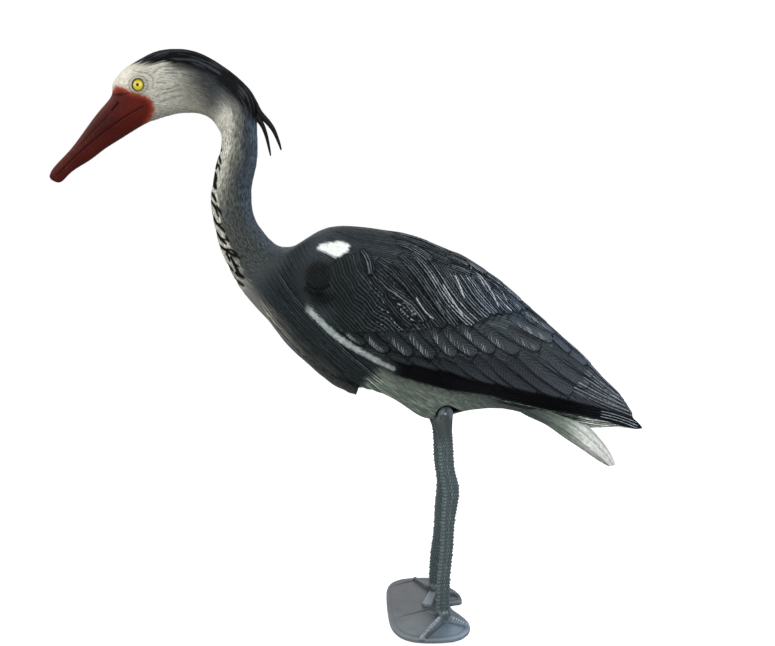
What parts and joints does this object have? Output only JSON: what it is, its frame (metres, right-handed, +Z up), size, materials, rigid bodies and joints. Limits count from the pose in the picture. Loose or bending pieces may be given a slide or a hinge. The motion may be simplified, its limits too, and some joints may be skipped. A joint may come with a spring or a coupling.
{
  "type": "heron decoy",
  "caption": "Life-size standing heron field decoy: hollow painted body with folded wings, inserted eyes and crest plumes, folding legs and a horseshoe foot base.",
  "frame": {"origin": "on the ground, on the underside of the base plate, midway between the ankles", "axes": "+Z up, -Y towards the bill, +Y towards the tail, +X towards the bird's left"},
  "size_m": [0.1692, 0.7044, 0.6656],
  "materials": {
    "plumage": "moulded polyethylene with a matt sprayed paint: slate wings, white face and breast front, black crown and brick red bill",
    "eye": "glossy yellow iris, black pupil and dark rim",
    "crest": "flexible matt black",
    "carrier": "moulded nylon, natural black",
    "pin": "drawn steel rod",
    "bush": "turned acetal",
    "leg": "grey moulded plastic with a scaly skin and a light silver dry brush",
    "base": "grey satin moulded plastic with ribbed toes"
  },
  "bodies": {
    "bird": {"left_shell": "plumage", "right_shell": "plumage", "left_eye": "eye", "right_eye": "eye", "crest_plume_upper": "crest", "crest_plume_lower": "crest", "leg_carrier": "carrier", "hinge_pin": "pin", "left_hinge_bush": "bush", "right_hinge_bush": "bush"},
    "left_leg": {"left_leg": "leg"},
    "right_leg": {"right_leg": "leg"},
    "base": {"base_plate": "base"}
  },
  "joints": [
    {"name": "left_leg_fold", "type": "hinge", "parent": "bird", "child": "left_leg", "pos_m": [0, 0.006, 0.2375], "axis": [1, 0, 0], "range_deg": [0, 60]},
    {"name": "right_leg_fold", "type": "hinge", "parent": "bird", "child": "right_leg", "pos_m": [0, 0.006, 0.2375], "axis": [1, 0, 0], "range_deg": [0, 60]},
    {"name": "base_release", "type": "slide", "parent": "left_leg", "child": "base", "axis": [0, 0, -1], "range_m": [0, 0.02]}
  ],
  "couplings": [
    {"joint": "right_leg_fold", "follows": "left_leg_fold", "ratio": 1}
  ]
}
